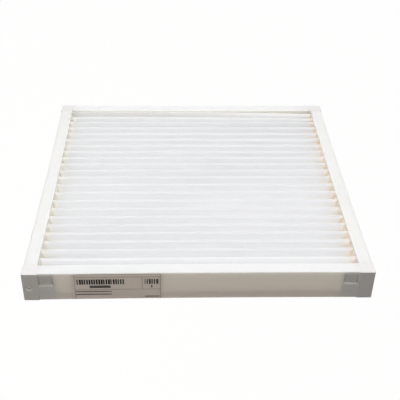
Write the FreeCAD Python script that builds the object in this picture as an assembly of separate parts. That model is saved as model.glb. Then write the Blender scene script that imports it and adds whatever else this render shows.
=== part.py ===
import FreeCAD, Part
import math
import os

# Pre-filter cassette: a pleated pad of filter fleece held in a square frame of white plastic.
# Four channel profiles are joined by four moulded corner blocks, whose legs slide into the
# ends of the channels and are locked there by tongues lanced out of the profile walls.
# The pleats end against a band of sealing compound on the left and right, and the first and
# last pleat stand in a bead of it at the front and back.
# Sizes are in millimetres. The cassette lies flat with its dust side up. The origin is the
# middle of the underside, +Z is up, the pleats run along X, and the label is in front, at -Y.

Vector = FreeCAD.Vector
UP = Vector(0, 0, 1)

# Overall size, measured over the corner blocks
width = 500.0
length = 500.0
depth = 48.0

# Channel profiles
wall = 1.4
rim_width = 20.5
recess = 1.1
bow = 1.3
edge_radius = 0.8
lip_bevel = 0.4
joint_gap = 0.15

# Corner blocks
corner_size = 22.0
corner_radius = 1.8
corner_bevel = 0.5
skin = 2.0
leg_length = 24.0
leg_plate = 3.4
leg_fit = 0.15
core_land = 6.0

# Round mark sunk into one outer face of each corner block, at half its height
mark_diameter = 10.5
mark_depth = 0.7
mark_pip = 3.0
mark_from_corner = 9.4

# Latch: a tongue hinged at its upper edge and pressed in behind a sill
latch_width = 20.0
latch_from_joint = 1.6
latch_from_top = 4.0
latch_height = 18.5
latch_sink = 2.2
latch_slit = 1.0
latch_clearance = 0.25

# Pleated pad
pleat_count = 23
first_crest = 16.9
fleece = 1.8
fold_radius = 1.6
crest_drop = 2.4
valley_rise = 2.4

# Sealing compound
band_reach = 20.3
bead_reach = 11.0
bead_height = 12.0
shrinkage = 0.1

# Label on the front profile
label_width = 131.0
label_margin = 1.0
label_thickness = 0.2
label_from_left = 68.0
label_gap = 0.1

# The far end of a leg, as a distance from the outer corner of its block
leg_tip = corner_size + leg_length

# Levels of the tongue's hinge and of the sill below it
latch_top = depth - latch_from_top
latch_sill = latch_top - latch_height


def bow_radius(side):
    """Radius of the arc in which the outer face of a profile on this side is drawn in."""
    half_span = side / 2 - corner_size
    return (half_span ** 2 + bow ** 2) / (2 * bow)


def wall_face(side, along):
    """How far the outer face of a profile lies behind the corner blocks, at a place."""
    radius = bow_radius(side)
    return recess + bow - radius + math.sqrt(radius ** 2 - along ** 2)


def leg_face(side):
    """Outer face of a leg, clear of the drawn-in wall all the way to its tip."""
    return wall_face(side, side / 2 - leg_tip) + wall + leg_fit


def leg_inner(side):
    """Inner face of a leg."""
    return leg_face(side) + leg_plate


def outline(corners):
    """A closed wire through (u, v, radius) corners in the YZ plane, each corner rounded."""
    count = len(corners)
    starts, ends, arcs = [], [], []
    for index in range(count):
        here = Vector(0, corners[index][0], corners[index][1])
        before = Vector(0, corners[index - 1][0], corners[index - 1][1])
        after = Vector(0, corners[(index + 1) % count][0], corners[(index + 1) % count][1])
        radius = corners[index][2]
        back = (before - here).normalize()
        forth = (after - here).normalize()
        if radius == 0:
            starts.append(here)
            ends.append(here)
            arcs.append(None)
            continue
        half = back.getAngle(forth) / 2
        start = here + back * (radius / math.tan(half))
        end = here + forth * (radius / math.tan(half))
        middle_line = (back + forth).normalize()
        middle = here + middle_line * (radius / math.sin(half) - radius)
        starts.append(start)
        ends.append(end)
        arcs.append(Part.Arc(start, middle, end).toShape())
    edges = []
    for index in range(count):
        if arcs[index] is not None:
            edges.append(arcs[index])
        following = starts[(index + 1) % count]
        edges.append(Part.LineSegment(ends[index], following).toShape())
    return Part.Wire(edges)


def along_bow(side, corners, start, end):
    """A section, drawn as at the end of a front profile, carried along its drawn-in arc.

    The section's u is the distance from the outer face of the corner blocks, v the height,
    and start and end are places along the side, measured from its middle.
    """
    radius = bow_radius(side)
    centre = Vector(0, recess + bow - radius, 0)
    face = Part.Face(outline(corners))
    face.translate(Vector(0, bow, 0))
    first = math.degrees(math.asin(start / radius))
    last = math.degrees(math.asin(end / radius))
    face.rotate(centre, UP, -first)
    return face.revolve(centre, UP, first - last)


def rectangle(inner, outer, bottom, top):
    """Four sharp corners of an upright rectangle, for an outline."""
    return [(outer, bottom, 0), (inner, bottom, 0), (inner, top, 0), (outer, top, 0)]


def slab(corner, opposite):
    """A box between two opposite corners."""
    low = Vector(*[min(pair) for pair in zip(corner, opposite)])
    high = Vector(*[max(pair) for pair in zip(corner, opposite)])
    size = high - low
    return Part.makeBox(size.x, size.y, size.z, low)


def prism(points, start, end):
    """A YZ polygon carried straight along X."""
    ring = [Vector(start, u, v) for u, v in points]
    face = Part.Face(Part.makePolygon(ring + ring[:1]))
    return face.extrude(Vector(end - start, 0, 0))


# Channel profile

def lip(level):
    """Bevelled inner edge of a rim with its underside at this level, from below upwards."""
    return [
        (rim_width - lip_bevel, level, 0),
        (rim_width, level + lip_bevel, 0),
        (rim_width, level + wall - lip_bevel, 0),
        (rim_width - lip_bevel, level + wall, 0),
    ]


def latch_places(side):
    """Start and end of the two latches of a profile, measured from its middle."""
    near = side / 2 - corner_size - latch_from_joint
    far = near - latch_width
    return [(-near, -far), (far, near)]


def tongue_section():
    """The tongue: the wall's own thickness, hinged at the top and leaning in below."""
    top = latch_top
    foot = latch_sill + latch_slit
    return [
        (recess, top, 0),
        (recess + wall, top, 0),
        (recess + wall + latch_sink, foot, 0),
        (recess + latch_sink, foot, 0),
    ]


def profile(side):
    """A front profile of this length, its corner blocks' outer face at y = 0."""
    half_span = side / 2 - corner_size - joint_gap
    over = half_span + wall
    outer = [(recess, depth, edge_radius), (recess, 0, edge_radius)]
    inner = [(recess + wall, wall, 0), (recess + wall, depth - wall, 0)]
    section = outer + lip(0) + inner + lip(depth - wall)
    channel = along_bow(side, section, -over, over)
    reach = rim_width + bow + wall
    channel = channel.common(slab((-half_span, 0, 0), (half_span, reach, depth)))
    for start, end in latch_places(side):
        window = rectangle(recess - wall, recess + 2 * wall, latch_sill, latch_top)
        channel = channel.cut(along_bow(side, window, start, end))
        tongue = along_bow(side, tongue_section(), start + latch_slit, end - latch_slit)
        channel = channel.fuse(tongue)
    return channel.removeSplitter()


# Corner block

def round_mark():
    """A shallow round dish with a pip left standing in its middle."""
    centre = Vector(mark_from_corner, 0, depth / 2)
    inward = Vector(0, 1, 0)
    dish = Part.makeCylinder(mark_diameter / 2, mark_depth, centre, inward)
    return dish.cut(Part.makeCylinder(mark_pip / 2, mark_depth, centre, inward))


def latch_pocket(side, clearance):
    """The wedge that the tongue needs in a leg on this side, drawn for a leg along +X."""
    start = corner_size + latch_from_joint - clearance
    end = start + latch_width + 2 * clearance
    drawn_in = wall_face(side, side / 2 - leg_tip) - recess
    deep = recess + drawn_in + wall + latch_sink + clearance
    flush = deep - latch_sink
    foot = latch_sill + latch_slit - clearance
    return prism([(0, foot), (deep, foot), (flush, latch_top + clearance),
                  (0, latch_top + clearance)], start, end)


def leg(side):
    """A leg along +X that fills the height of the channel behind its outer wall."""
    low = wall + leg_fit
    high = depth - wall - leg_fit
    root = corner_size - skin
    plate = slab((root, leg_face(side), low), (leg_tip, leg_inner(side), high))
    return plate.cut(latch_pocket(side, latch_clearance))


def swap_axes(shape):
    """The mirror image that turns a leg along +X into a leg along +Y."""
    return shape.mirror(Vector(0, 0, 0), Vector(1, -1, 0))


def corner_body(side_x, side_y):
    """The block itself: two outer walls, a top and a bottom land, cored from inside."""
    block = Part.makeBox(corner_size, corner_size, depth)
    outer = [edge for edge in block.Edges
             if all(abs(v.X) < 0.01 and abs(v.Y) < 0.01 for v in edge.Vertexes)]
    block = block.makeFillet(corner_radius, outer)
    rims = [edge for edge in block.Edges
            if all(abs(v.Z - edge.Vertexes[0].Z) < 0.01 for v in edge.Vertexes)
            and min(edge.CenterOfMass.x, edge.CenterOfMass.y) < corner_radius]
    block = block.makeChamfer(corner_bevel, rims)
    inside_x = leg_inner(side_y)
    inside_y = leg_inner(side_x)
    block = block.cut(slab((inside_x, inside_y, wall), (corner_size, corner_size, depth - wall)))
    block = block.cut(slab((rim_width, rim_width, 0), (corner_size, corner_size, depth)))
    core_end = corner_size - skin
    block = block.cut(slab((inside_x, skin, core_land), (core_end, inside_y, depth - core_land)))
    block = block.cut(slab((skin, inside_y, core_land), (inside_x, core_end, depth - core_land)))
    return block


def corner(side_x, side_y):
    """A corner block with its outer corner at x = y = 0 and its legs along +X and +Y."""
    block = corner_body(side_x, side_y)
    block = block.fuse([leg(side_x), swap_axes(leg(side_y))])
    return block.cut(round_mark()).removeSplitter()


# Pleated pad

def flank_angle(pitch, height):
    """Lean from upright of the straight flank between a crest fold and a valley fold."""
    run = pitch / 2
    drop = height - 2 * fold_radius - fleece
    return math.atan2(run, drop) - math.asin(2 * fold_radius / math.hypot(run, drop))


def pad_section(pitch, height, low):
    """Outline of the folded fleece in the YZ plane, from the first crest to the last."""
    lean = flank_angle(pitch, height)
    crest_level = low + height - fold_radius - fleece / 2
    valley_level = low + fold_radius + fleece / 2
    first = -(pleat_count - 1) * pitch / 2
    tail = math.hypot(pitch / 2, crest_level - valley_level)
    tail = math.sqrt(tail ** 2 - 4 * fold_radius ** 2)

    def turned(centre_y, level, radius, angle):
        return Vector(0, centre_y + radius * math.sin(angle), level + radius * math.cos(angle))

    quarter = math.pi / 2
    sides = []
    for offset in (fleece / 2, -fleece / 2):
        edges = []
        crest_r = fold_radius + offset
        valley_r = fold_radius - offset
        start = turned(first, crest_level, crest_r, -(quarter - lean))
        foot = start + Vector(0, -math.sin(lean), -math.cos(lean)) * tail
        edges.append(Part.LineSegment(foot, start).toShape())
        ends = [foot]
        for index in range(pleat_count):
            crest_y = first + index * pitch
            rise = turned(crest_y, crest_level, crest_r, -(quarter - lean))
            top = turned(crest_y, crest_level, crest_r, 0)
            fall = turned(crest_y, crest_level, crest_r, quarter - lean)
            edges.append(Part.Arc(rise, top, fall).toShape())
            if index == pleat_count - 1:
                foot = fall + Vector(0, math.sin(lean), -math.cos(lean)) * tail
                edges.append(Part.LineSegment(fall, foot).toShape())
                ends.append(foot)
                break
            valley_y = crest_y + pitch / 2
            into = turned(valley_y, valley_level, valley_r, math.pi + quarter - lean)
            low_point = turned(valley_y, valley_level, valley_r, math.pi)
            out = turned(valley_y, valley_level, valley_r, quarter + lean)
            edges.append(Part.LineSegment(fall, into).toShape())
            edges.append(Part.Arc(into, low_point, out).toShape())
            following = turned(crest_y + pitch, crest_level, crest_r, -(quarter - lean))
            edges.append(Part.LineSegment(out, following).toShape())
        sides.append((edges, ends))
    (upper, upper_ends), (lower, lower_ends) = sides
    closing = [
        Part.LineSegment(upper_ends[1], lower_ends[1]).toShape(),
        Part.LineSegment(lower_ends[0], upper_ends[0]).toShape(),
    ]
    return Part.Wire(upper + closing[:1] + lower[::-1] + closing[1:])


def pad(start, end):
    """The folded fleece between two places along X."""
    pitch = (length - 2 * first_crest) / (pleat_count - 1)
    height = depth - 2 * wall - crest_drop - valley_rise
    section = Part.Face(pad_section(pitch, height, wall + valley_rise))
    section.translate(Vector(start, 0, 0))
    return section.extrude(Vector(end - start, 0, 0))


# Sealing compound

def clear_of_legs(shape, side):
    """Keep compound on the inner side of the legs at both ends of a front profile."""
    face = leg_inner(side) + shrinkage
    for end in (-1, 1):
        tip = end * (side / 2 - leg_tip - leg_fit)
        shape = shape.cut(slab((tip, 0, 0), (end * side / 2, face, depth)))
    return shape


def compound(side, half_run, reach, top):
    """Compound poured behind the wall of a front profile, from the lower rim up to a level.

    It has shrunk a little as it set, so it stands just clear of the wall and of both rims.
    """
    section = rectangle(recess + wall + shrinkage, reach + bow, wall + shrinkage, top)
    poured = along_bow(side, section, -half_run, half_run)
    poured = poured.common(slab((-half_run, 0, 0), (half_run, reach, depth)))
    return clear_of_legs(poured, side)


def end_band():
    """The band in a side channel, its ends against the front and back corner walls."""
    half_run = length / 2 - leg_inner(width) - shrinkage
    return compound(length, half_run, band_reach, depth - wall - shrinkage)


def edge_bead():
    """The bead in the front or back channel, between the two end bands."""
    half_run = width / 2 - band_reach - shrinkage
    return compound(width, half_run, bead_reach, wall + shrinkage + bead_height)


# Label

def label():
    """A paper label on the front profile, following the drawn-in wall."""
    start = label_from_left - width / 2
    outer = recess - label_gap - label_thickness
    sheet = rectangle(outer, outer + label_thickness, label_margin, depth - label_margin)
    return along_bow(width, sheet, start, start + label_width)


def place(shape, turn, to_x, to_y):
    """Turn a piece drawn for the front or the front left corner, and set it in its place."""
    moved = shape.copy()
    moved.rotate(Vector(0, 0, 0), UP, turn)
    moved.translate(Vector(to_x, to_y, 0))
    return moved


def cassette():
    """Every piece of the cassette, by name."""
    right, back = width / 2, length / 2
    fleece_pad = pad(band_reach - right, right - band_reach)
    pieces = {
        "profile_front": place(profile(width), 0, 0, -back),
        "profile_back": place(profile(width), 180, 0, back),
        "profile_left": place(profile(length), -90, -right, 0),
        "profile_right": place(profile(length), 90, right, 0),
        "corner_front_left": place(corner(width, length), 0, -right, -back),
        "corner_front_right": place(corner(length, width), 90, right, -back),
        "corner_back_right": place(corner(width, length), 180, right, back),
        "corner_back_left": place(corner(length, width), -90, -right, back),
        "pleated_pad": fleece_pad,
        "end_band_left": place(end_band(), -90, -right, 0),
        "end_band_right": place(end_band(), 90, right, 0),
        "edge_bead_front": place(edge_bead(), 0, 0, -back).cut(fleece_pad),
        "edge_bead_back": place(edge_bead(), 180, 0, back).cut(fleece_pad),
        "label": place(label(), 0, 0, -back),
    }
    return pieces


os.makedirs("parts", exist_ok=True)
for name, shape in cassette().items():
    solid = shape.Solids[0] if len(shape.Solids) == 1 else shape
    solid.exportStep("parts/" + name + ".step")
    print(name, "solids", len(shape.Solids), "volume %.0f" % shape.Volume)
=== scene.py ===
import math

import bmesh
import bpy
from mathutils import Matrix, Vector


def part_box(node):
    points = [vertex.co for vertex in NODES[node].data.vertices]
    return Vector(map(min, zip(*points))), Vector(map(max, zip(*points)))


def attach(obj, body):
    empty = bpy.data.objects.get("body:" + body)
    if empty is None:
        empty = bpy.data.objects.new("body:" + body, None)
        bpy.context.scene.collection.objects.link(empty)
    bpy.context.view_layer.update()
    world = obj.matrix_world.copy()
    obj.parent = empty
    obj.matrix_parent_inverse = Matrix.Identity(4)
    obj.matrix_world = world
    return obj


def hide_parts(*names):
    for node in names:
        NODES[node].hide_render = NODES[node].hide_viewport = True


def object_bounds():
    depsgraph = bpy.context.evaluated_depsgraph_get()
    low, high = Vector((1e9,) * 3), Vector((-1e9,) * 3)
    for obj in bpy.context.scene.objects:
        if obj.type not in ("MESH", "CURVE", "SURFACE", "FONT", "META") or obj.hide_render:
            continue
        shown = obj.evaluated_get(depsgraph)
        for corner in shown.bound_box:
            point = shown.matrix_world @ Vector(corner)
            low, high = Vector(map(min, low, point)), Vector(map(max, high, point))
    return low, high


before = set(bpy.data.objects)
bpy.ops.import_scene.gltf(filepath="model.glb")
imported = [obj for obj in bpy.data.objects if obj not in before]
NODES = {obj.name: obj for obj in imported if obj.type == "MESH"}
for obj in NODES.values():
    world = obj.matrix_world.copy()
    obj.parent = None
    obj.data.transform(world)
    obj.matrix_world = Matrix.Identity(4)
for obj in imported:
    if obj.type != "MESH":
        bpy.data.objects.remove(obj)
cad_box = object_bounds()

# %% [markdown]
# # A pleated pre-filter cassette
# The cassette is a flat square frame of white plastic that holds one long sheet of filter fleece,
# folded into 23 pleats. The plastic frame comes from the CAD model with its true shape, so here
# it only gets its finish. The fleece is soft, and its folds are never quite straight, so it is
# modelled again as a real folded sheet.
# Lengths are in metres, because Blender counts in metres. MM turns millimetres into them.

MM = 0.001
print("pieces from the CAD model:", len(NODES))

# %% [markdown]
# ## Sizes read from the frame
# A number that the CAD model already holds isn't written again. The boxes of its nodes give the
# outer size of the frame, the inner edge of its rims, how far the legs of the corner blocks
# reach into the profiles, and the room that the fleece has.

# %% Sizes read from the frame
BOX_LOW, BOX_HIGH = [Vector(corner) for corner in cad_box]
HALF_LENGTH = BOX_HIGH.y
PAD_LOW, PAD_HIGH = [Vector(corner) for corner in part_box("pleated_pad")]
RIM_EDGE = -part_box("profile_front")[1][1]
LEG_TIP = -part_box("corner_front_left")[1][0]
print("frame", [round(size / MM, 1) for size in BOX_HIGH - BOX_LOW], "mm")
print("inner edge of a rim at", round(RIM_EDGE / MM, 1), "mm from the middle, tip of a leg at",
      round(LEG_TIP / MM, 1), "mm")

# %% [markdown]
# ## The camera
# The photograph looks down on the cassette from the front. A camera can be placed by eye, but
# this one was worked out from where the corners of the frame stand in the picture: how far it
# is turned, how steeply it looks down, and a slight roll, because it wasn't held quite level.

# %% The camera
CAMERA_PLACE = Vector((-0.0368, -1.0539, 0.7390))
CAMERA_TURN = math.radians(2.488)
CAMERA_PITCH = math.radians(35.064)
CAMERA_ROLL = math.radians(1.224)
FOCAL_PIXELS = 752.3
IMAGE_PIXELS = 400
SENSOR_MM = 36.0

camera_data = bpy.data.cameras.new("camera")
camera_data.sensor_width = SENSOR_MM
camera_data.lens = FOCAL_PIXELS * SENSOR_MM / IMAGE_PIXELS
camera = bpy.data.objects.new("camera", camera_data)
bpy.context.collection.objects.link(camera)
turn = Matrix.Rotation(-CAMERA_TURN, 4, "Z")
tilt = Matrix.Rotation(math.radians(90) - CAMERA_PITCH, 4, "X")
roll = Matrix.Rotation(CAMERA_ROLL, 4, "Z")
camera.matrix_world = Matrix.Translation(CAMERA_PLACE) @ turn @ tilt @ roll
bpy.context.scene.camera = camera
bpy.context.scene.view_settings.view_transform = "Standard"
print("lens", round(camera_data.lens, 1), "mm")

# %% [markdown]
# ## Colours and nodes
# Colours are written as sRGB hex values, as a paint chart gives them, and Blender's shaders count
# in linear light, so one function turns the first into the second. A second function adds a node
# to a material: it sets the node's own settings, gives its sockets values, and draws its links.

# %% Colours and nodes
def linear(hex_colour):
    """An sRGB hex colour as linear red, green, blue and full alpha."""
    channels = []
    for start in (1, 3, 5):
        value = int(hex_colour[start:start + 2], 16) / 255
        low = value <= 0.04045
        channels.append(value / 12.92 if low else ((value + 0.055) / 1.055) ** 2.4)
    return (*channels, 1.0)


def add_node(tree, kind, settings=None, **sockets):
    """Add a node. A socket is named with _ for each space, and gets a value or an output."""
    node = tree.nodes.new(kind)
    for name, value in (settings or {}).items():
        setattr(node, name, value)
    for name, value in sockets.items():
        if name.startswith("input_"):
            socket = node.inputs[int(name.removeprefix("input_"))]
        else:
            socket = node.inputs[name.replace("_", " ")]
        if isinstance(value, bpy.types.NodeSocket):
            tree.links.new(value, socket)
        else:
            socket.default_value = value
    return node


def new_material(name):
    """An empty node material and its output node."""
    material = bpy.data.materials.new(name)
    material.use_nodes = True
    tree = material.node_tree
    tree.nodes.clear()
    return material, tree, tree.nodes.new("ShaderNodeOutputMaterial")


print("the grey #808080 is", round(linear("#808080")[0], 3), "in linear light")

# %% [markdown]
# ## Floor, backdrop and light
# A catalogue picture is taken on white with soft light from above. The floor and the backdrop
# show as white to the camera only: Light Path tells a camera ray from the others, and all other
# rays meet an ordinary warm grey table, which throws light up against the sides of the frame. The
# table is darker on the right, as the right end of the front wall shows. A little of the table
# stays in what the camera sees, so that the cassette keeps a faint shadow, and the white beside
# it is a trace stronger than 1 to make up for that.
# The lamp is one broad softbox of daylight colour, above the cassette, a trace to the left and
# in front, so that its light also gets in under the back rim.

# %% The material of the floor
FLOOR_SHARE = 0.10
WHITE_STRENGTH = 1.09
DARKER_FROM = -0.2
DARKER_TO = 0.4


def seen_directly(tree):
    """1 for rays that show a background, from the camera, in gloss or through glass; else 0."""
    path = add_node(tree, "ShaderNodeLightPath")
    either = add_node(tree, "ShaderNodeMath", {"operation": "MAXIMUM"},
                      input_0=path.outputs["Is Camera Ray"],
                      input_1=path.outputs["Is Glossy Ray"])
    either = add_node(tree, "ShaderNodeMath", {"operation": "MAXIMUM"},
                      input_0=either.outputs[0],
                      input_1=path.outputs["Is Transmission Ray"])
    return either.outputs[0]


def studio_floor():
    """A warm grey table top that the camera sees as white paper with a faint shadow."""
    material, tree, output = new_material("white_studio_paper")
    place = add_node(tree, "ShaderNodeTexCoord")
    across = add_node(tree, "ShaderNodeSeparateXYZ", Vector=place.outputs["Object"])
    shade = add_node(tree, "ShaderNodeMapRange", {"interpolation_type": "SMOOTHSTEP"},
                     Value=across.outputs["X"], From_Min=DARKER_FROM, From_Max=DARKER_TO)
    table = add_node(tree, "ShaderNodeMix", {"data_type": "RGBA"}, input_0=shade.outputs[0],
                     input_6=linear("#80766A"), input_7=linear("#5A5349"))
    paper = add_node(tree, "ShaderNodeBsdfDiffuse", Color=table.outputs[2])
    white = add_node(tree, "ShaderNodeEmission", Color=linear("#FFFFFF"),
                     Strength=WHITE_STRENGTH)
    share = add_node(tree, "ShaderNodeMath", {"operation": "MULTIPLY"},
                     input_0=seen_directly(tree), input_1=1 - FLOOR_SHARE)
    mixed = add_node(tree, "ShaderNodeMixShader", Fac=share.outputs[0],
                     input_1=paper.outputs[0], input_2=white.outputs[0])
    tree.links.new(mixed.outputs[0], output.inputs["Surface"])
    return material


floor_paper = studio_floor()
print("floor material", floor_paper.name)

# %% The floor
FLOOR_SIZE = 14.0
FLOOR_DROP = 0.2 * MM

bpy.ops.object.select_all(action="DESELECT")
bpy.ops.mesh.primitive_plane_add(size=FLOOR_SIZE, location=(0, 0, -FLOOR_DROP))
floor = bpy.context.object
floor.name = "floor"
floor.data.materials.append(floor_paper)
print("floor", FLOOR_SIZE, "m wide")

# %% The backdrop
SKY_STRENGTH = 0.08

sky = bpy.data.worlds.new("studio")
sky.use_nodes = True
sky.node_tree.nodes.clear()
strength = add_node(sky.node_tree, "ShaderNodeMapRange", Value=seen_directly(sky.node_tree),
                    To_Min=SKY_STRENGTH)
backdrop = add_node(sky.node_tree, "ShaderNodeBackground", Color=linear("#FFFFFF"),
                    Strength=strength.outputs[0])
sky_output = sky.node_tree.nodes.new("ShaderNodeOutputWorld")
sky.node_tree.links.new(backdrop.outputs[0], sky_output.inputs["Surface"])
bpy.context.scene.world = sky
print("backdrop", sky.name, "gives", SKY_STRENGTH, "of white light")

# %% The softbox
LIGHT_HEIGHT = 2.6
LIGHT_IN_FRONT = 0.4
LIGHT_TO_LEFT = 0.1
LIGHT_SIZE = 2.8
LIGHT_POWER = 79.0

lamp_data = bpy.data.lights.new("softbox", "AREA")
lamp_data.shape = "SQUARE"
lamp_data.size = LIGHT_SIZE
lamp_data.energy = LIGHT_POWER
lamp_data.color = linear("#F9FAFF")[:3]
lamp = bpy.data.objects.new("softbox", lamp_data)
lamp.location = (-LIGHT_TO_LEFT, -LIGHT_IN_FRONT, LIGHT_HEIGHT)
bpy.context.collection.objects.link(lamp)
print("light", LIGHT_POWER, "W over", LIGHT_SIZE, "m")

# %% [markdown]
# ## The folded fleece
# The pad is one sheet of white fleece, 1.8 mm thick, folded up and down 23 times. It could be cut
# out of a block or drawn as a section, but a sheet is best made as a sheet: the first flank is a
# grid, Spin carries its upper edge round the crest, and the next flank and the valley follow.
# That one pleat is then repeated with an Array, made a little uneven, and given its thickness
# at the very end.

# %% Sizes of one pleat
PLEATS = 23
FIRST_CREST = 16.9 * MM
FLEECE = 1.8 * MM
FOLD_RADIUS = 1.6 * MM
COLUMNS = 70
FLANK_ROWS = 3
FOLD_STEPS = 6
TOLERANCE = 0.01 * MM

PITCH = (2 * HALF_LENGTH - 2 * FIRST_CREST) / (PLEATS - 1)
CREST_AXIS = PAD_HIGH.z - FLEECE / 2 - FOLD_RADIUS
VALLEY_AXIS = PAD_LOW.z + FLEECE / 2 + FOLD_RADIUS
AXIS_DROP = CREST_AXIS - VALLEY_AXIS
AXIS_SPAN = math.hypot(PITCH / 2, AXIS_DROP)
FLANK = math.sqrt(AXIS_SPAN ** 2 - 4 * FOLD_RADIUS ** 2)
LEAN = math.atan2(PITCH / 2, AXIS_DROP) - math.asin(2 * FOLD_RADIUS / AXIS_SPAN)
FOLD_ANGLE = math.pi - 2 * LEAN
FIRST_Y = FIRST_CREST - HALF_LENGTH
print("pitch", round(PITCH / MM, 2), "mm, flank", round(FLANK / MM, 1), "mm, lean",
      round(math.degrees(LEAN), 1), "degrees")

# %% The first flank
def deselect():
    """Nothing is selected, so that the next operator acts only on what it is given."""
    if bpy.context.object and bpy.context.object.mode == "EDIT":
        bpy.ops.object.mode_set(mode="OBJECT")
    bpy.ops.object.select_all(action="DESELECT")


flank_foot = Vector((0, FIRST_Y - PITCH / 2 + FOLD_RADIUS * math.cos(LEAN),
                     VALLEY_AXIS - FOLD_RADIUS * math.sin(LEAN)))
flank_rise = Vector((0, math.sin(LEAN), math.cos(LEAN))) * FLANK
deselect()
bpy.ops.mesh.primitive_grid_add(x_subdivisions=COLUMNS, y_subdivisions=FLANK_ROWS, size=1)
pad = bpy.context.object
pad.name = "folded_fleece"
pad.data.name = pad.name
pad.scale = (PAD_HIGH.x - PAD_LOW.x, FLANK, 1)
pad.rotation_euler = (math.radians(90) - LEAN, 0, 0)
pad.location = flank_foot + flank_rise / 2
bpy.ops.object.transform_apply(location=True, rotation=True, scale=True)
print("first flank from", [round(c / MM, 1) for c in flank_foot], "mm")

# %% The crest, the next flank and the valley
def select_where(piece, test):
    """In edit mode, select the vertices that pass a test, and the edges and faces on them."""
    mesh = bmesh.from_edit_mesh(piece.data)
    for face in mesh.faces:
        face.select = False
    for edge in mesh.edges:
        edge.select = False
    for vertex in mesh.verts:
        vertex.select = test(vertex.co)
    mesh.select_flush(True)
    bmesh.update_edit_mesh(piece.data)


top_of_flank = (flank_foot + flank_rise).z
bpy.ops.object.mode_set(mode="EDIT")
bpy.ops.mesh.select_mode(type="VERT")
select_where(pad, lambda place: place.z > top_of_flank - TOLERANCE)
bpy.ops.mesh.spin(steps=FOLD_STEPS, angle=FOLD_ANGLE, center=(0, FIRST_Y, CREST_AXIS),
                  axis=(1, 0, 0))
step_down = Vector((0, flank_rise.y, -flank_rise.z)) / FLANK_ROWS
for _ in range(FLANK_ROWS):
    bpy.ops.mesh.extrude_region_move(TRANSFORM_OT_translate={"value": step_down})
bpy.ops.mesh.spin(steps=FOLD_STEPS, angle=FOLD_ANGLE, axis=(-1, 0, 0),
                  center=(0, FIRST_Y + PITCH / 2, VALLEY_AXIS))
bpy.ops.object.mode_set(mode="OBJECT")
print("one pleat has", len(pad.data.polygons), "faces")

# %% Twenty-three pleats in a row
def apply_modifier(piece, kind, **settings):
    """Add a modifier with its settings and apply it at once."""
    modifier = piece.modifiers.new(kind.lower(), kind)
    for name, value in settings.items():
        setattr(modifier, name, value)
    bpy.context.view_layer.objects.active = piece
    bpy.ops.object.modifier_apply(modifier=modifier.name)


apply_modifier(pad, "ARRAY", count=PLEATS, use_relative_offset=False,
               use_constant_offset=True, constant_offset_displace=(0, PITCH, 0),
               use_merge_vertices=True, merge_threshold=2 * TOLERANCE)
last_foot = FIRST_Y + (PLEATS - 0.5) * PITCH - FOLD_RADIUS * math.cos(LEAN)
bpy.ops.object.mode_set(mode="EDIT")
select_where(pad, lambda place: place.y > last_foot + TOLERANCE)
bpy.ops.mesh.delete(type="VERT")
bpy.ops.object.mode_set(mode="OBJECT")
print("pad has", len(pad.data.polygons), "faces")

# %% [markdown]
# ### Uneven folds
# Folded fleece isn't ruled with a pen. In the photograph some crests stand up to 3 mm before or
# behind their even places, and the last ones fan out to the right, where they stand up to 10 mm
# too far forward. Two long waves added together follow the drift, and a third term the fan. They
# leave out the first pleat and the foot of the last one, which stand fast in the compound. Two
# Displace modifiers with a soft cloud pattern then make each crest a little wavy, first along the
# cassette and then in height.
# A wave is given by its height, its length, and how far in front of the middle it starts.

# %% Uneven folds
SLOW_HEIGHT, SLOW_LENGTH, SLOW_START = 2.1 * MM, 381 * MM, 35 * MM
QUICK_HEIGHT, QUICK_LENGTH, QUICK_START = 1.3 * MM, 191 * MM, 50 * MM
ALL_BACK = 0.7 * MM
FAN_LEFT, FAN_RIGHT = 1.5 * MM, 10 * MM
FAN_FROM, FAN_TO = 180 * MM, 225 * MM
FOOT_FAST, FOOT_FREE = 14 * MM, 30 * MM


def ramp(value, start, end):
    """A smooth rise from 0 at the start to 1 at the end."""
    share = min(1, max(0, (value - start) / (end - start)))
    return share * share * (3 - 2 * share)


def drift(place):
    """How far this point of the pad stands behind its even place."""
    slow = SLOW_HEIGHT * math.sin(math.tau * (place.y + SLOW_START) / SLOW_LENGTH)
    quick = QUICK_HEIGHT * math.sin(math.tau * (place.y + QUICK_START) / QUICK_LENGTH)
    to_right = (place.x - PAD_LOW.x) / (PAD_HIGH.x - PAD_LOW.x)
    spread = FAN_LEFT + (FAN_RIGHT - FAN_LEFT) * to_right ** 2
    fan = spread * ramp(place.y, FAN_FROM, FAN_TO)
    free = ramp(place.y, FIRST_Y, FIRST_Y + PITCH)
    if place.y > -FIRST_Y:
        free = ramp(place.z, FOOT_FAST, FOOT_FREE)
    return free * (ALL_BACK + slow + quick - fan)


for vertex in pad.data.vertices:
    vertex.co.y += drift(vertex.co)
print("drift of the last crest", round(drift(Vector((0, -FIRST_Y, CREST_AXIS))) / MM, 1), "mm")

# %% Wavy crests
WANDER = 0.2 * MM
WANDER_SIZE = 90 * MM
HEIGHT_CHANGE = 0.12 * MM
HEIGHT_SIZE = 60 * MM
for direction, strength, size in (("Y", WANDER, WANDER_SIZE), ("Z", HEIGHT_CHANGE, HEIGHT_SIZE)):
    cloud = bpy.data.textures.new("unevenness_" + direction.lower(), "CLOUDS")
    cloud.noise_scale = size
    apply_modifier(pad, "DISPLACE", texture=cloud, texture_coords="LOCAL", direction=direction,
                   strength=strength, mid_level=0.5)
print("crests made wavy by", WANDER / MM, "and", HEIGHT_CHANGE / MM, "mm")
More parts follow.
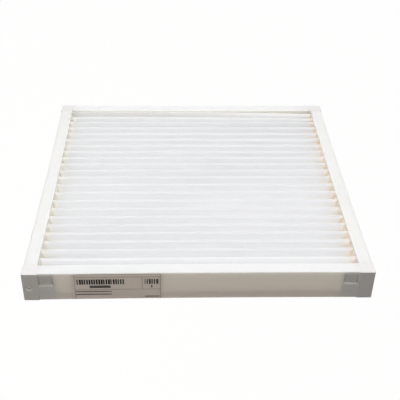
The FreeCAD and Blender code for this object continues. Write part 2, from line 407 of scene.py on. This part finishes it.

# %% [markdown]
# ### Thickness
# Solidify is applied last, when every fold has its shape, so that the fleece is 1.8 mm thick all
# over. The finished sheet takes the place of the plain CAD pad.

# %% Thickness
apply_modifier(pad, "SOLIDIFY", thickness=FLEECE, offset=0, use_even_offset=True)
for polygon in pad.data.polygons:
    polygon.use_smooth = True
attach(pad, "root")
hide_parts("pleated_pad")
print("finished pad has", len(pad.data.polygons), "faces")

# %% [markdown]
# ## Tools for the finishes
# Every finish below rests on soft random patterns that are laid over the object in metres. A
# pattern has a grain size, and can be drawn out in one direction, as streaks and fibres are.
# Two more tools come back in several finishes: one tells flat faces from upright ones, and one
# mixes light that comes through from behind into a surface, because the plastic, the paper and
# the fleece are all thin. The last one dresses pieces of the CAD model in a finished material.

# %% Tools for the finishes
def pattern(tree, grain, stretch=(1, 1, 1), detail=2.0):
    """A soft random value from 0 to 1, with grains this large, drawn out by the stretch."""
    place = add_node(tree, "ShaderNodeTexCoord")
    scale = [1 / (grain * factor) for factor in stretch]
    laid = add_node(tree, "ShaderNodeMapping", Vector=place.outputs["Object"], Scale=scale)
    noise = add_node(tree, "ShaderNodeTexNoise", Vector=laid.outputs[0], Scale=1.0, Detail=detail)
    return noise.outputs[0]


def flatness(tree):
    """1 where a face lies flat, up or down, and 0 where it stands upright."""
    surface = add_node(tree, "ShaderNodeNewGeometry")
    upward = add_node(tree, "ShaderNodeSeparateXYZ", Vector=surface.outputs["Normal"])
    flat = add_node(tree, "ShaderNodeMath", {"operation": "ABSOLUTE"}, input_0=upward.outputs["Z"])
    return flat.outputs[0]


def let_light_through(tree, output, body, tint, share):
    """Mix this share of light from behind, in this tint, into the surface, and put it out."""
    passing = add_node(tree, "ShaderNodeBsdfTranslucent", Color=tint)
    mixed = add_node(tree, "ShaderNodeMixShader", Fac=share,
                     input_1=body.outputs[0], input_2=passing.outputs[0])
    tree.links.new(mixed.outputs[0], output.inputs["Surface"])


def dress(node_names, material):
    """Give CAD nodes a material in every slot."""
    for name in node_names:
        slots = NODES[name].data.materials
        slots.clear()
        slots.append(material)


print("tools:", ", ".join(tool.__name__ for tool in (pattern, flatness, let_light_through, dress)))

# %% [markdown]
# ## Extruded polystyrene
# The four profiles are sawn from one endless white extrusion. The die leaves faint lines along
# its length, and the wall is only 1.4 mm thick, so light comes through it: a Translucent shader
# is mixed in for that. It makes the walls glow a little towards the top. In the photograph the
# rims stay a neutral white while the walls glow cream, so the share of light that comes through,
# and its tint, follow how flat the surface lies. Near the corners a leg of the corner block
# stands behind each wall and stops some of that light, so the wall is greyer there. The place
# along a profile is the smaller one of |X| and |Y|, on any side. The window for the latch is
# punched out. Its lower edge faces up and is painted grey: painted shade, so that it catches
# less of the light from above.
# The front and back profiles lie along X and the side ones along Y, so there are two materials
# from one function.
# Real die lines are about 0.3 mm apart. They are drawn 1.2 mm apart and 80 times as long, so that
# the picture can still show them as a soft streaky sheen.

# %% Extruded polystyrene
POLYSTYRENE_IOR = 1.59
DIE_LINE = 1.2 * MM
DRAWN_OUT = 80
EXTRUDED_CLOUD = 60 * MM
LEG_TIP_EDGE = 1 * MM
WALL_SHARE = 0.36
LEG_SHARE = 0.22
RIM_SHARE = 0.50
SILL_LEVEL = 25.5 * MM
SILL_BAND = 0.5 * MM


def share_of_light(tree, distance, flat):
    """How much light comes through: most in a rim, less in a wall, least in front of a leg."""
    along = add_node(tree, "ShaderNodeMath", {"operation": "MINIMUM"},
                     input_0=distance.outputs["X"], input_1=distance.outputs["Y"])
    wall_share = add_node(tree, "ShaderNodeMapRange", Value=along.outputs[0],
                          From_Min=LEG_TIP - LEG_TIP_EDGE, From_Max=LEG_TIP + LEG_TIP_EDGE,
                          To_Min=WALL_SHARE, To_Max=LEG_SHARE)
    share = add_node(tree, "ShaderNodeMapRange", Value=flat,
                     To_Min=wall_share.outputs[0], To_Max=RIM_SHARE)
    return share.outputs[0]


def extruded_polystyrene(name, stretch):
    """Satin white plastic with faint streaks, which lets some light through."""
    material, tree, output = new_material(name)
    lines = pattern(tree, DIE_LINE, stretch)
    clouds = pattern(tree, EXTRUDED_CLOUD)
    colour = add_node(tree, "ShaderNodeMix", {"data_type": "RGBA"}, input_0=clouds,
                      input_6=linear("#FFFFFE"), input_7=linear("#FBFCFB"))
    gloss = add_node(tree, "ShaderNodeMapRange", Value=lines, To_Min=0.36, To_Max=0.50)
    relief = add_node(tree, "ShaderNodeBump", Height=lines, Strength=0.5, Distance=0.01 * MM)
    place = add_node(tree, "ShaderNodeTexCoord")
    distance = add_node(tree, "ShaderNodeVectorMath", {"operation": "ABSOLUTE"},
                        input_0=place.outputs["Object"])
    distance = add_node(tree, "ShaderNodeSeparateXYZ", Vector=distance.outputs[0])
    flat = flatness(tree)
    # painted shade: flat faces at the height of the latch window's lower edge are painted grey, so
    # this upward edge catches less of the light from above
    sill_shade = add_node(tree, "ShaderNodeMath", {"operation": "COMPARE"},
                       input_0=distance.outputs["Z"], input_1=SILL_LEVEL, input_2=SILL_BAND)
    sill_shade = add_node(tree, "ShaderNodeMath", {"operation": "MULTIPLY"},
                       input_0=sill_shade.outputs[0], input_1=flat)
    colour = add_node(tree, "ShaderNodeMix", {"data_type": "RGBA"}, input_0=sill_shade.outputs[0],
                      input_6=colour.outputs[2], input_7=linear("#C6C2BA"))
    body = add_node(tree, "ShaderNodeBsdfPrincipled", Base_Color=colour.outputs[2],
                    Roughness=gloss.outputs[0], IOR=POLYSTYRENE_IOR, Normal=relief.outputs[0])
    tint = add_node(tree, "ShaderNodeMix", {"data_type": "RGBA"}, input_0=flat,
                    input_6=linear("#FFF7EA"), input_7=linear("#FFFFFE"))
    let_light_through(tree, output, body, tint.outputs[2], share_of_light(tree, distance, flat))
    return material


along_x = extruded_polystyrene("extruded_polystyrene_along_x", (DRAWN_OUT, 1, 1))
along_y = extruded_polystyrene("extruded_polystyrene_along_y", (1, DRAWN_OUT, 1))
dress(["profile_front", "profile_back"], along_x)
dress(["profile_left", "profile_right"], along_y)
print("profiles dressed in", along_x.name, "and", along_y.name)

# %% [markdown]
# ## Moulded polystyrene
# The corner blocks are injection moulded in a tool whose faces were spark eroded. That leaves a
# fine even grain, which scatters the shine, so the blocks look a little flatter than the
# profiles. They are thicker too, and let less light through. The real grain is about 0.1 mm wide
# and is drawn at 0.6 mm.

# %% Moulded polystyrene
MOULD_GRAIN = 0.6 * MM
MOULDED_CLOUD = 25 * MM
BLOCK_SHARE = 0.04

corner_plastic, tree, output = new_material("spark_eroded_polystyrene")
grain = pattern(tree, MOULD_GRAIN, detail=3.0)
clouds = pattern(tree, MOULDED_CLOUD)
colour = add_node(tree, "ShaderNodeMix", {"data_type": "RGBA"}, input_0=clouds,
                  input_6=linear("#FFFDF8"), input_7=linear("#FCFAF4"))
gloss = add_node(tree, "ShaderNodeMapRange", Value=grain, To_Min=0.46, To_Max=0.60)
relief = add_node(tree, "ShaderNodeBump", Height=grain, Strength=0.6, Distance=0.03 * MM)
body = add_node(tree, "ShaderNodeBsdfPrincipled", Base_Color=colour.outputs[2],
                Roughness=gloss.outputs[0], IOR=POLYSTYRENE_IOR, Normal=relief.outputs[0])
let_light_through(tree, output, body, linear("#FFFFFF"), BLOCK_SHARE)
dress([name for name in NODES if name.startswith("corner")], corner_plastic)
print("corner blocks dressed in", corner_plastic.name)

# %% [markdown]
# ## Cast sealing compound
# The compound is poured in as a cream-coloured liquid and foams a little while it sets. Its
# surface is matt and full of small closed bubbles, 1 to 2 mm wide, which a Voronoi pattern draws
# as shallow domes. Its upright faces are nearly white, and its flat skin, which set last, is
# yellower: it darkens the side rims a little from below. Where it has crept in between the
# pleats it is warmer than in the bands, more so on the right.

# %% Cast sealing compound
BUBBLE = 1.6 * MM
COMPOUND_CLOUD = 14 * MM
BAND_EDGE = 0.5 * MM

compound, tree, output = new_material("cast_foamed_compound")
place = add_node(tree, "ShaderNodeTexCoord")
bubbles = add_node(tree, "ShaderNodeTexVoronoi", Vector=place.outputs["Object"],
                   Scale=1 / BUBBLE)
clouds = pattern(tree, COMPOUND_CLOUD, detail=3.0)
colour = add_node(tree, "ShaderNodeMix", {"data_type": "RGBA"}, input_0=clouds,
                  input_6=linear("#FFFEFB"), input_7=linear("#FDFBF6"))
colour = add_node(tree, "ShaderNodeMix", {"data_type": "RGBA"}, input_0=flatness(tree),
                  input_6=colour.outputs[2], input_7=linear("#ECE7DC"))
where = add_node(tree, "ShaderNodeSeparateXYZ", Vector=place.outputs["Object"])
across = add_node(tree, "ShaderNodeMapRange", Value=where.outputs["X"],
                  From_Min=PAD_LOW.x, From_Max=PAD_HIGH.x)
crept = add_node(tree, "ShaderNodeMix", {"data_type": "RGBA"}, input_0=across.outputs[0],
                 input_6=linear("#FFFBF2"), input_7=linear("#FFF4E8"))
side = add_node(tree, "ShaderNodeMath", {"operation": "ABSOLUTE"}, input_0=where.outputs["X"])
in_band = add_node(tree, "ShaderNodeMapRange", Value=side.outputs[0],
                   From_Min=PAD_HIGH.x - BAND_EDGE, From_Max=PAD_HIGH.x)
colour = add_node(tree, "ShaderNodeMix", {"data_type": "RGBA"}, input_0=in_band.outputs[0],
                  input_6=crept.outputs[2], input_7=colour.outputs[2])
gloss = add_node(tree, "ShaderNodeMapRange", Value=bubbles.outputs["Distance"],
                 To_Min=0.6, To_Max=0.85)
relief = add_node(tree, "ShaderNodeBump", {"invert": True}, Height=bubbles.outputs["Distance"],
                  Strength=0.6, Distance=0.25 * MM)
body = add_node(tree, "ShaderNodeBsdfPrincipled", Base_Color=colour.outputs[2],
                Roughness=gloss.outputs[0], Normal=relief.outputs[0])
tree.links.new(body.outputs[0], output.inputs["Surface"])
dress([name for name in NODES if name.startswith(("end", "edge"))], compound)
print("compound dressed in", compound.name)

# %% [markdown]
# ## Compound between the pleats
# While it was liquid, the compound crept in between the flanks, further where they stand closer
# together, so low down in each valley. It set there as a slope that falls from the band to the
# foot of the valley, longer on the right than on the left. One such plug starts as a cube: its
# long edges are subdivided, each cross-section is fitted between the flanks, and an Array sets
# one in every valley, where it follows the same drift as the folds.

# %% Compound between the pleats
CREEP_LEFT = 9 * MM
CREEP_RIGHT = 16 * MM
CREEP_TOP = PAD_HIGH.z - 2 * MM
CREEP_TIP = 1 * MM
CREEP_STEPS = 8
BEDDED = 0.3 * MM
SMOOTH_UP_TO = math.radians(35)


def half_gap(height):
    """Half the width of a valley at this height, bedded a trace into the fleece."""
    inner = FOLD_RADIUS - FLEECE / 2 + BEDDED
    return inner / math.cos(LEAN) + (height - VALLEY_AXIS) * math.tan(LEAN)


def bar_blank(name):
    """A cube of size 1 whose edges along X are subdivided."""
    deselect()
    bpy.ops.mesh.primitive_cube_add(size=1)
    piece = bpy.context.object
    piece.name = name
    piece.data.name = name
    bpy.ops.object.mode_set(mode="EDIT")
    mesh = bmesh.from_edit_mesh(piece.data)
    for edge in mesh.edges:
        edge.select = abs(edge.verts[0].co.x - edge.verts[1].co.x) > 0.5
    bmesh.update_edit_mesh(piece.data)
    bpy.ops.mesh.subdivide(number_cuts=CREEP_STEPS - 1)
    bpy.ops.object.mode_set(mode="OBJECT")
    return piece


def crept_compound(name, face, creep):
    """A plug of compound in every valley, from the face of a band inwards by the creep."""
    piece = bar_blank(name)
    for vertex in piece.data.vertices:
        inwards = vertex.co.x + 0.5
        height = VALLEY_AXIS
        if vertex.co.z > 0:
            height += CREEP_TIP + (CREEP_TOP - VALLEY_AXIS - CREEP_TIP) * (1 - inwards) ** 2
        across = math.copysign(half_gap(height), vertex.co.y)
        vertex.co = (face + creep * inwards, FIRST_Y + PITCH / 2 + across, height)
    apply_modifier(piece, "ARRAY", count=PLEATS - 1, use_relative_offset=False,
                   use_constant_offset=True, constant_offset_displace=(0, PITCH, 0))
    for vertex in piece.data.vertices:
        vertex.co.y += drift(vertex.co)
    bpy.ops.object.mode_set(mode="EDIT")
    bpy.ops.mesh.select_all(action="SELECT")
    bpy.ops.mesh.normals_make_consistent(inside=False)
    bpy.ops.object.mode_set(mode="OBJECT")
    bpy.ops.object.shade_smooth_by_angle(angle=SMOOTH_UP_TO)
    piece.data.materials.append(compound)
    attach(piece, "root")
    print(name, "has", len(piece.data.polygons), "faces")


crept_compound("crept_compound_left", PAD_LOW.x, CREEP_LEFT)
crept_compound("crept_compound_right", PAD_HIGH.x, -CREEP_RIGHT)

# %% [markdown]
# ## Label paper
# The label is off-white uncoated paper, printed with a thermal printer. Its lettering is left
# out. What stays is generic: a thin border, rules that part it into fields, two blocks of bars and
# a few plain bars where lines of type would be. Each field is a box on the label, and a point's
# distance from the nearest box tells whether it is printed. The label lies in the XZ plane, so
# the boxes are deep enough in Y to hold any point. A block of bars is cut into 3.4 mm cells with
# one bar each, and White Noise gives every cell its own share of ink.
# The measures in the lists are from the lower left corner of the label, in millimetres: left,
# right, foot and top.

# %% Printed fields
LABEL_LEFT, _, LABEL_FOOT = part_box("label")[0]
LABEL_RULES = [(5.2, 127, 44.8, 45.5), (5.2, 127, 39.7, 40.4), (5.2, 127, 17.0, 17.7),
               (5.2, 5.9, 0, 45.5), (126.3, 127, 0, 45.5), (100.4, 101.1, 17.0, 40.4)]
LABEL_TYPE = [(26.5, 56, 20.3, 24.7), (113.3, 115, 20.3, 24.7), (6.5, 57, 13.0, 14.4),
              (6.5, 57, 7.6, 9.0), (104, 125, 2.8, 4.2)]
LABEL_BARS = [(8.4, 75, 27, 36), (104.5, 124.3, 27, 36)]
ANY_DEPTH = 1
PRINT_EDGE = 0.15 * MM


def printed(tree, place, fields):
    """1 inside the nearest of these fields and 0 outside all of them."""
    nearest = 1.0
    for left, right, foot, top in fields:
        middle = ((left + right) / 2 * MM + LABEL_LEFT, 0, (foot + top) / 2 * MM + LABEL_FOOT)
        half = ((right - left) / 2 * MM, ANY_DEPTH, (top - foot) / 2 * MM)
        offset = add_node(tree, "ShaderNodeVectorMath", {"operation": "SUBTRACT"},
                          input_0=place, input_1=middle)
        offset = add_node(tree, "ShaderNodeVectorMath", {"operation": "ABSOLUTE"},
                          input_0=offset.outputs[0])
        offset = add_node(tree, "ShaderNodeVectorMath", {"operation": "SUBTRACT"},
                          input_0=offset.outputs[0], input_1=half)
        offset = add_node(tree, "ShaderNodeVectorMath", {"operation": "MAXIMUM"},
                          input_0=offset.outputs[0], input_1=(0, 0, 0))
        distance = add_node(tree, "ShaderNodeVectorMath", {"operation": "LENGTH"},
                            input_0=offset.outputs[0])
        closer = add_node(tree, "ShaderNodeMath", {"operation": "MINIMUM"},
                          input_0=distance.outputs["Value"], input_1=nearest)
        nearest = closer.outputs[0]
    inked = add_node(tree, "ShaderNodeMapRange", Value=nearest, From_Max=PRINT_EDGE,
                     To_Min=1.0, To_Max=0.0)
    return inked.outputs[0]


print("label has", len(LABEL_RULES + LABEL_TYPE + LABEL_BARS), "printed fields")

# %% Bars, type and rules
BAR_CELL = 3.4 * MM
TYPE_INK = 0.8
RULE_INK = 0.4

paper, tree, output = new_material("thermal_printed_paper")
place = add_node(tree, "ShaderNodeTexCoord")
where = place.outputs["Object"]
along = add_node(tree, "ShaderNodeSeparateXYZ", Vector=where)
cells = add_node(tree, "ShaderNodeMath", {"operation": "DIVIDE"},
                 input_0=along.outputs["X"], input_1=BAR_CELL)
cell = add_node(tree, "ShaderNodeMath", {"operation": "FLOOR"}, input_0=cells.outputs[0])
within = add_node(tree, "ShaderNodeMath", {"operation": "FRACT"}, input_0=cells.outputs[0])
chance = add_node(tree, "ShaderNodeTexWhiteNoise", {"noise_dimensions": "1D"}, W=cell.outputs[0])
inked_part = add_node(tree, "ShaderNodeMapRange", Value=chance.outputs["Value"],
                      To_Min=0.45, To_Max=0.85)
bar = add_node(tree, "ShaderNodeMath", {"operation": "LESS_THAN"},
               input_0=within.outputs[0], input_1=inked_part.outputs[0])
bars = add_node(tree, "ShaderNodeMath", {"operation": "MULTIPLY"},
                input_0=bar.outputs[0], input_1=printed(tree, where, LABEL_BARS))
type_ink = add_node(tree, "ShaderNodeMath", {"operation": "MULTIPLY"},
                    input_0=printed(tree, where, LABEL_TYPE), input_1=TYPE_INK)
ink = add_node(tree, "ShaderNodeMath", {"operation": "MAXIMUM"},
               input_0=bars.outputs[0], input_1=type_ink.outputs[0])
rules = add_node(tree, "ShaderNodeMath", {"operation": "MULTIPLY"},
                 input_0=printed(tree, where, LABEL_RULES), input_1=RULE_INK)
ink = add_node(tree, "ShaderNodeMath", {"operation": "MAXIMUM"},
               input_0=ink.outputs[0], input_1=rules.outputs[0])
print("bars in cells of", BAR_CELL / MM, "mm")

# %% Label paper
PAPER_FIBRE = 0.4 * MM
PAPER_CLOUD = 8 * MM
PAPER_SHARE = 0.5

fibres = pattern(tree, PAPER_FIBRE, detail=4.0)
clouds = pattern(tree, PAPER_CLOUD)
sheet = add_node(tree, "ShaderNodeMix", {"data_type": "RGBA"}, input_0=clouds,
                 input_6=linear("#FAF6F2"), input_7=linear("#F6F1EC"))
colour = add_node(tree, "ShaderNodeMix", {"data_type": "RGBA"}, input_0=ink.outputs[0],
                  input_6=sheet.outputs[2], input_7=linear("#33302D"))
gloss = add_node(tree, "ShaderNodeMapRange", Value=ink.outputs[0], To_Min=0.75, To_Max=0.5)
relief = add_node(tree, "ShaderNodeBump", Height=fibres, Strength=0.4, Distance=0.02 * MM)
body = add_node(tree, "ShaderNodeBsdfPrincipled", Base_Color=colour.outputs[2],
                Roughness=gloss.outputs[0], Normal=relief.outputs[0])
let_light_through(tree, output, body, colour.outputs[2], PAPER_SHARE)
dress(["label"], paper)
print("label dressed in", paper.name)

# %% [markdown]
# ## Polyester fleece
# The fleece is a mat of fine white polyester fibres, melted together where they cross. Most run
# along the sheet, so up and down the flanks, and some across. It is bright because light goes
# through it again and again from pleat to pleat. The flanks are painted a trace greyer from
# 30 mm up, and the top 3 mm of each crest greyer still: painted shade on the tops, where the
# light falls strongest. At both ends the fleece is tinted cream, further in low down in the
# pleats than at the crests, and more on the right than on the left. The first and last two
# pleats are painted whiter: painted light that lifts the shade under the front and back rims.
# Real fibres are 0.02 mm thick. They are drawn 0.5 mm wide and 8 times as long.

# %% Fibres and painted shade on the tops
FIBRE = 0.5 * MM
FIBRE_LENGTH = 8
CREST_SHADE = 3 * MM
CREST_SHADE_TOP = 0.5 * MM
FLANK_SHADE_FROM = 30 * MM

fleece, tree, output = new_material("bonded_polyester_fleece")
place = add_node(tree, "ShaderNodeTexCoord")
where = add_node(tree, "ShaderNodeSeparateXYZ", Vector=place.outputs["Object"])
fibres_up = pattern(tree, FIBRE, (1, 1, FIBRE_LENGTH), detail=3.0)
fibres_across = pattern(tree, FIBRE, (FIBRE_LENGTH, 1, 1), detail=3.0)
fibres = add_node(tree, "ShaderNodeMath", {"operation": "MAXIMUM"},
                  input_0=fibres_up, input_1=fibres_across)
# painted shade: the upper flanks are painted a trace greyer, and the tops of the crests greyer
# still, where the light falls strongest
height = add_node(tree, "ShaderNodeMapRange", {"interpolation_type": "SMOOTHSTEP"},
                  Value=where.outputs["Z"], From_Min=FLANK_SHADE_FROM, From_Max=PAD_HIGH.z)
flank = add_node(tree, "ShaderNodeMix", {"data_type": "RGBA"}, input_0=height.outputs[0],
                 input_6=linear("#FEFEFE"), input_7=linear("#F5F5F6"))
crest = add_node(tree, "ShaderNodeMapRange", Value=where.outputs["Z"],
                 From_Min=PAD_HIGH.z - CREST_SHADE, From_Max=PAD_HIGH.z - CREST_SHADE_TOP)
shaded_tops = add_node(tree, "ShaderNodeMix", {"data_type": "RGBA"}, input_0=crest.outputs[0],
                 input_6=flank.outputs[2], input_7=linear("#EFEFEF"))
thick = add_node(tree, "ShaderNodeMapRange", Value=fibres.outputs[0],
                 From_Min=0.4, From_Max=0.8, To_Min=0.0, To_Max=1.0)
web = add_node(tree, "ShaderNodeMix", {"data_type": "RGBA", "blend_type": "MULTIPLY"},
               input_0=thick.outputs[0], input_6=shaded_tops.outputs[2], input_7=linear("#FDFDFC"))
print("fibres", FIBRE / MM, "mm wide")

# %% Cream ends
TINT_LOW = 22 * MM
TINT_HIGH = 10 * MM
TINT_LEVEL = 30 * MM
TINT_CLOUD = 7 * MM
TINT_UNEVEN = 0.25

side = add_node(tree, "ShaderNodeMath", {"operation": "ABSOLUTE"}, input_0=where.outputs["X"])
inwards = add_node(tree, "ShaderNodeMath", {"operation": "SUBTRACT"},
                   input_0=PAD_HIGH.x, input_1=side.outputs[0])
reach = add_node(tree, "ShaderNodeMapRange", Value=where.outputs["Z"], From_Min=TINT_LEVEL,
                 From_Max=PAD_HIGH.z, To_Min=TINT_LOW, To_Max=TINT_HIGH)
share = add_node(tree, "ShaderNodeMath", {"operation": "DIVIDE"},
                 input_0=inwards.outputs[0], input_1=reach.outputs[0])
edge = add_node(tree, "ShaderNodeMapRange", Value=pattern(tree, TINT_CLOUD),
                To_Min=-TINT_UNEVEN, To_Max=TINT_UNEVEN)
share = add_node(tree, "ShaderNodeMath", {"operation": "ADD"},
                 input_0=share.outputs[0], input_1=edge.outputs[0])
tinted = add_node(tree, "ShaderNodeMapRange", {"interpolation_type": "SMOOTHSTEP"},
                  Value=share.outputs[0], To_Min=1.0, To_Max=0.0)
across = add_node(tree, "ShaderNodeMapRange", Value=where.outputs["X"],
                  From_Min=PAD_LOW.x, From_Max=PAD_HIGH.x)
cream = add_node(tree, "ShaderNodeMix", {"data_type": "RGBA"}, input_0=across.outputs[0],
                 input_6=linear("#FFFEFA"), input_7=linear("#FFFBF5"))
print("ends soaked for", TINT_LOW / MM, "mm below and", TINT_HIGH / MM, "mm at the crests")

# %% Painted light on the outer pleats, and the finished fleece
OUTER_LIGHT_FROM = HALF_LENGTH - FIRST_CREST - 2 * PITCH
OUTER_LIGHT_TO = HALF_LENGTH - PITCH
OUTER_LIGHT_SHARE = 0.45
FLEECE_SHARE = 0.90

# painted light: the first and last two pleats are painted whiter, to lift the shade under the front
# and back rims
outmost = add_node(tree, "ShaderNodeMath", {"operation": "ABSOLUTE"}, input_0=where.outputs["Y"])
outer_light = add_node(tree, "ShaderNodeMapRange", Value=outmost.outputs[0],
                 From_Min=OUTER_LIGHT_FROM, From_Max=OUTER_LIGHT_TO, To_Max=OUTER_LIGHT_SHARE)
lightened = add_node(tree, "ShaderNodeMix", {"data_type": "RGBA"}, input_0=outer_light.outputs[0],
                 input_6=web.outputs[2], input_7=linear("#FFFFFF"))
colour = add_node(tree, "ShaderNodeMix", {"data_type": "RGBA"}, input_0=tinted.outputs[0],
                  input_6=lightened.outputs[2], input_7=cream.outputs[2])
relief = add_node(tree, "ShaderNodeBump", Height=fibres.outputs[0], Strength=0.5,
                  Distance=0.08 * MM)
body = add_node(tree, "ShaderNodeBsdfPrincipled", Base_Color=colour.outputs[2], Roughness=0.9,
                Normal=relief.outputs[0])
let_light_through(tree, output, body, colour.outputs[2], FLEECE_SHARE)
pad.data.materials.append(fleece)
print("fleece dressed in", fleece.name)
